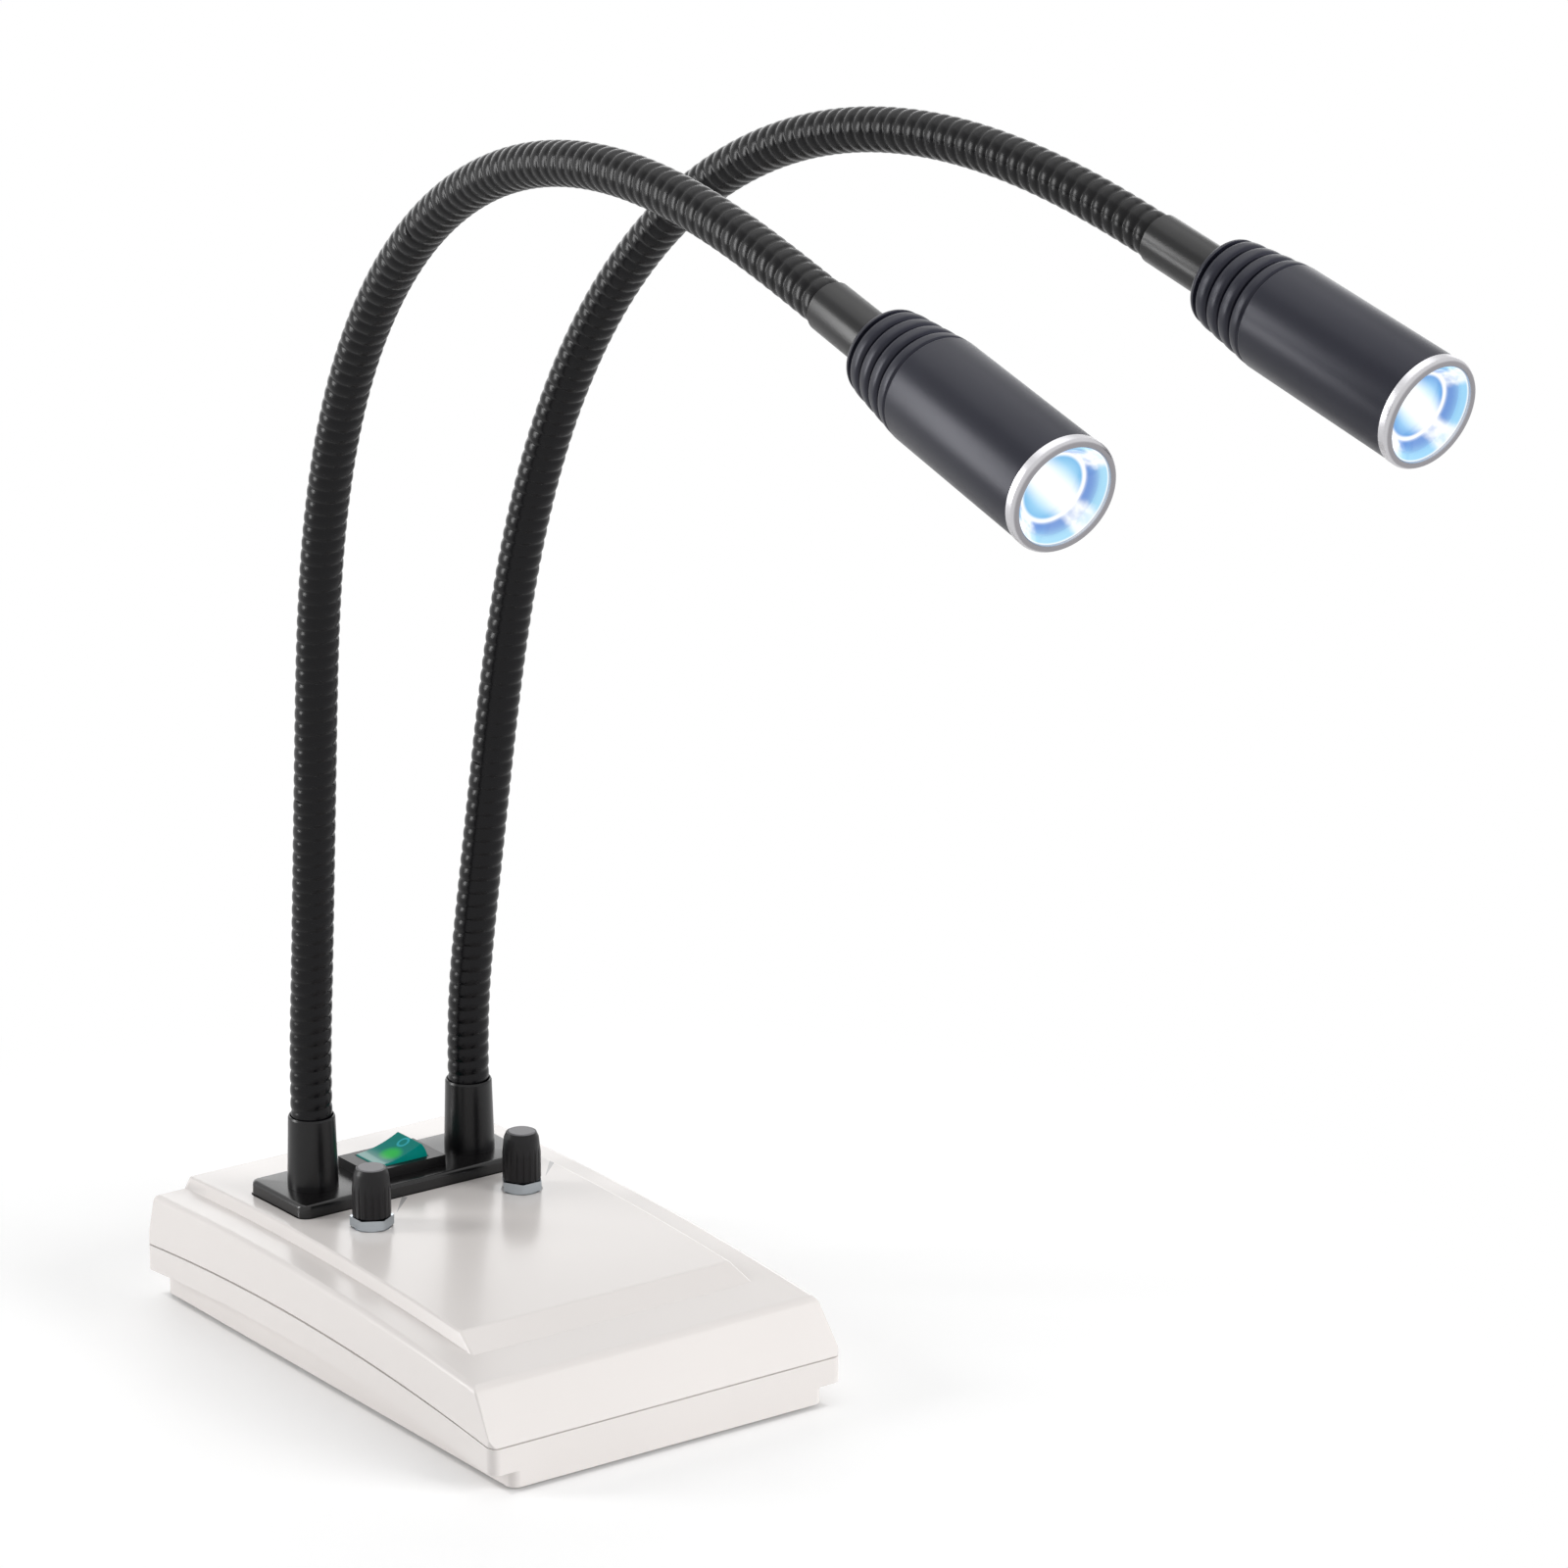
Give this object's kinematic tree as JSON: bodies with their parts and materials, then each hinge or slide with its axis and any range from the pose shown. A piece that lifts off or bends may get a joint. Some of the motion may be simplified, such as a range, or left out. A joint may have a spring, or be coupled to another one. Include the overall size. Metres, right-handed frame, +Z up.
{
  "type": "dual gooseneck illuminator",
  "caption": "Desk illuminator: a low weighted base with a lit rocker switch and dimmer knobs carries ribbed goosenecks, each with a lamp head aimed forward.",
  "frame": {"origin": "middle of the anti-slip pad's underside, on the surface that the base stands on", "axes": "+X to the right along the front edge, +Y from the front edge to the rear, +Z up; the lamp heads point towards -Y"},
  "size_m": [0.1428, 0.4104, 0.3741],
  "materials": {
    "casing": "satin warm white",
    "pad": "matt",
    "steel": "bright plated",
    "board": "satin",
    "brass": "plain",
    "components": "matt",
    "black_plastic": "satin",
    "gloss_black": "gloss",
    "rocker_green": "gloss, lit from inside",
    "black_metal": "black anodised",
    "aluminium": "plain",
    "knob_black": "satin",
    "cap_grey": "satin",
    "gooseneck": "black satin",
    "head_black": "black anodised satin",
    "ring_silver": "polished",
    "lens": "clear",
    "led_board": "white lacquer",
    "led": "clear dome"
  },
  "bodies": {
    "base": {"foot_pad": "pad", "bottom_tray": "casing", "top_cover": "casing", "case_screws": "steel", "ballast_plate": "steel", "ballast_screws": "steel", "driver_board": "board", "board_standoffs": "brass", "board_screws": "steel", "driver_parts": "components", "power_inlet": "black_plastic", "inlet_nut": "steel", "neck_plate": "gloss_black", "switch_housing": "black_plastic", "switch_blades": "brass", "left_socket": "black_metal", "right_socket": "black_metal", "socket_nuts": "steel", "left_dimmer": "components", "right_dimmer": "components", "dimmer_washers": "steel", "dimmer_nuts": "steel", "left_neck_1": "gooseneck", "right_neck_1": "gooseneck"},
    "left_arm_1": {"left_neck_2": "gooseneck"},
    "left_arm_2": {"left_neck_3": "gooseneck"},
    "left_arm_3": {"left_neck_4": "gooseneck"},
    "left_arm_4": {"left_neck_5": "gooseneck"},
    "left_head": {"left_neck_6": "gooseneck", "left_ferrule": "black_metal", "left_finned_cap": "head_black", "left_barrel": "head_black", "left_front_ring": "ring_silver", "left_lens": "lens", "left_lens_holder": "black_plastic", "left_led_board": "led_board", "left_led": "led"},
    "left_dial": {"left_knob": "knob_black", "left_knob_cap": "cap_grey", "left_shaft": "aluminium"},
    "right_arm_1": {"right_neck_2": "gooseneck"},
    "right_arm_2": {"right_neck_3": "gooseneck"},
    "right_arm_3": {"right_neck_4": "gooseneck"},
    "right_arm_4": {"right_neck_5": "gooseneck"},
    "right_head": {"right_neck_6": "gooseneck", "right_ferrule": "black_metal", "right_finned_cap": "head_black", "right_barrel": "head_black", "right_front_ring": "ring_silver", "right_lens": "lens", "right_lens_holder": "black_plastic", "right_led_board": "led_board", "right_led": "led"},
    "right_dial": {"right_knob": "knob_black", "right_knob_cap": "cap_grey", "right_shaft": "aluminium"},
    "rocker": {"switch_rocker": "rocker_green"}
  },
  "joints": [
    {"name": "left_bend_low", "type": "hinge", "parent": "base", "child": "left_arm_1", "pos_m": [-0.02747, 0.04642, 0.11156], "axis": [0.9998, -0.0024, 0.0221], "range_deg": [-20, 15]},
    {"name": "left_sway_low", "type": "hinge", "parent": "left_arm_1", "child": "left_arm_2", "pos_m": [-0.02986, 0.03568, 0.20894], "axis": [0, 0.9904, 0.1383], "range_deg": [-12, 12]},
    {"name": "left_bend_mid", "type": "hinge", "parent": "left_arm_2", "child": "left_arm_3", "pos_m": [-0.03225, 0.00451, 0.30093], "axis": [0.9997, -0.0135, 0.0204], "range_deg": [-25, 20]},
    {"name": "left_sway_high", "type": "hinge", "parent": "left_arm_3", "child": "left_arm_4", "pos_m": [-0.03465, -0.07183, 0.35929], "axis": [0, 0.3082, 0.9513], "range_deg": [-15, 15]},
    {"name": "left_bend_high", "type": "hinge", "parent": "left_arm_4", "child": "left_head", "pos_m": [-0.03704, -0.16865, 0.36181], "axis": [0.9997, -0.0239, -0.0049], "range_deg": [-25, 25]},
    {"name": "right_bend_low", "type": "hinge", "parent": "base", "child": "right_arm_1", "pos_m": [0.02845, 0.04687, 0.11157], "axis": [0.9977, 0.0062, -0.0681], "range_deg": [-20, 15]},
    {"name": "right_sway_low", "type": "hinge", "parent": "right_arm_1", "child": "right_arm_2", "pos_m": [0.03577, 0.03629, 0.20869], "axis": [0, 0.9841, 0.1778], "range_deg": [-12, 12]},
    {"name": "right_bend_mid", "type": "hinge", "parent": "right_arm_2", "child": "right_arm_3", "pos_m": [0.04312, 0.00063, 0.2988], "axis": [0.9972, 0.0437, -0.061], "range_deg": [-25, 20]},
    {"name": "right_sway_high", "type": "hinge", "parent": "right_arm_3", "child": "right_arm_4", "pos_m": [0.05047, -0.07582, 0.35729], "axis": [0, 0.345, 0.9386], "range_deg": [-15, 15]},
    {"name": "right_bend_high", "type": "hinge", "parent": "right_arm_4", "child": "right_head", "pos_m": [0.05782, -0.17217, 0.36531], "axis": [0.9972, 0.0741, 0.0112], "range_deg": [-25, 25]},
    {"name": "left_dim", "type": "hinge", "parent": "base", "child": "left_dial", "pos_m": [-0.02575, 0.02, 0.04], "axis": [0, 0, 1], "range_deg": [-150, 150]},
    {"name": "right_dim", "type": "hinge", "parent": "base", "child": "right_dial", "pos_m": [0.02575, 0.02, 0.04], "axis": [0, 0, 1], "range_deg": [-150, 150]},
    {"name": "switch_rock", "type": "hinge", "parent": "base", "child": "rocker", "pos_m": [0, 0.0495, 0.0427], "axis": [0, 1, 0], "range_deg": [0, 30]}
  ]
}
